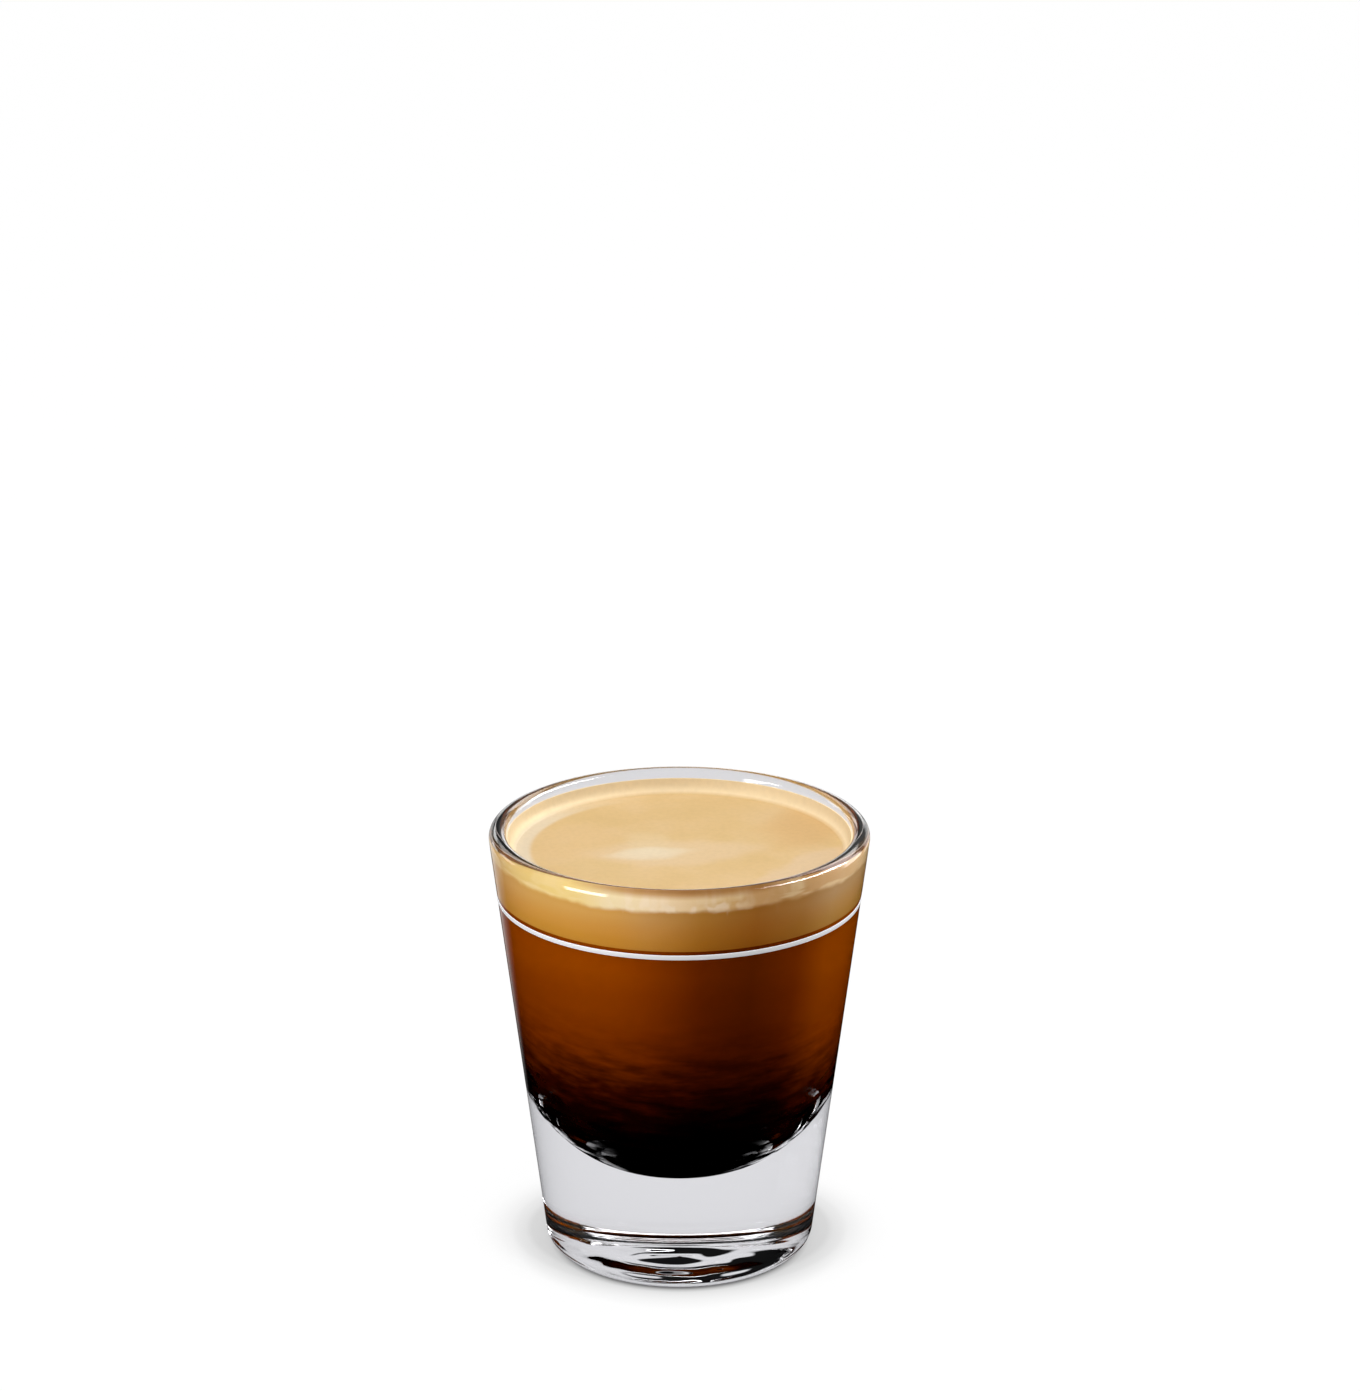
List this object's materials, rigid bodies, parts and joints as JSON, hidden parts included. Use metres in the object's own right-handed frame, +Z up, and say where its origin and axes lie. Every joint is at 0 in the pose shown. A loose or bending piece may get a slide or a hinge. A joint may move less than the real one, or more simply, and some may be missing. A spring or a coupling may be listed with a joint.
{
  "type": "espresso",
  "caption": "Espresso with a thick pale crema in a small thick-based clear glass that tapers to its foot, with a thin white fill line round it.",
  "frame": {"origin": "centre of the foot, on the surface that the glass stands on", "axes": "+Z up along the glass's axis; +X and +Y are across it and alike, as every piece is round; the picture looks along +Y"},
  "size_m": [0.051, 0.051, 0.06],
  "materials": {
    "glass": "clear pressed soda-lime glass, fire-polished",
    "espresso": "dark brown coffee, wet",
    "crema": "fine tan foam, softly shiny",
    "crema_edge": "pale thin foam on the glass wall",
    "white_enamel": "white enamel fired on the glass"
  },
  "bodies": {
    "root": {"glass": "glass", "espresso": "espresso", "crema": "crema", "crema_edge": "crema_edge", "fill_line": "white_enamel"}
  },
  "joints": []
}
